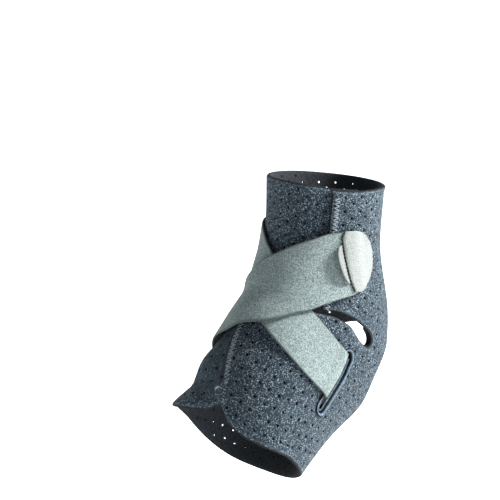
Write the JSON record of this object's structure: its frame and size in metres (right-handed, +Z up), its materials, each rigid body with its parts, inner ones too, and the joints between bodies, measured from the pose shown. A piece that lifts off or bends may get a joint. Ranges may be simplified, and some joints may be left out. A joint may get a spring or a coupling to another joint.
{
  "type": "ankle support",
  "caption": "Left ankle support: a soft perforated wrap with an open heel and toe end, closed in front and held by crossed elastic straps with hook tabs.",
  "frame": {"origin": "middle of the ankle inside the wrap, on the axis of the shaft, 26 mm below the instep crease pivot's height", "axes": "+Z up the shaft, -Y towards the toes, +X towards the outer side of the left foot"},
  "size_m": [0.1047, 0.1656, 0.2129],
  "materials": {
    "wrap": "heather slate grey knit face on perforated foam sheet, matte",
    "slot_rim": "dark pressed edge, satin",
    "strap": "light grey-green ribbed elastic, matte",
    "hook_tab": "off-white hook tape, soft satin"
  },
  "bodies": {
    "root": {"wrap_body": "wrap", "slot_rim_outer": "slot_rim", "slot_rim_inner": "slot_rim", "strap_under": "strap", "strap_over": "strap", "tab_under": "hook_tab", "tab_over": "hook_tab", "grip_under": "hook_tab", "grip_over": "hook_tab"}
  },
  "joints": []
}
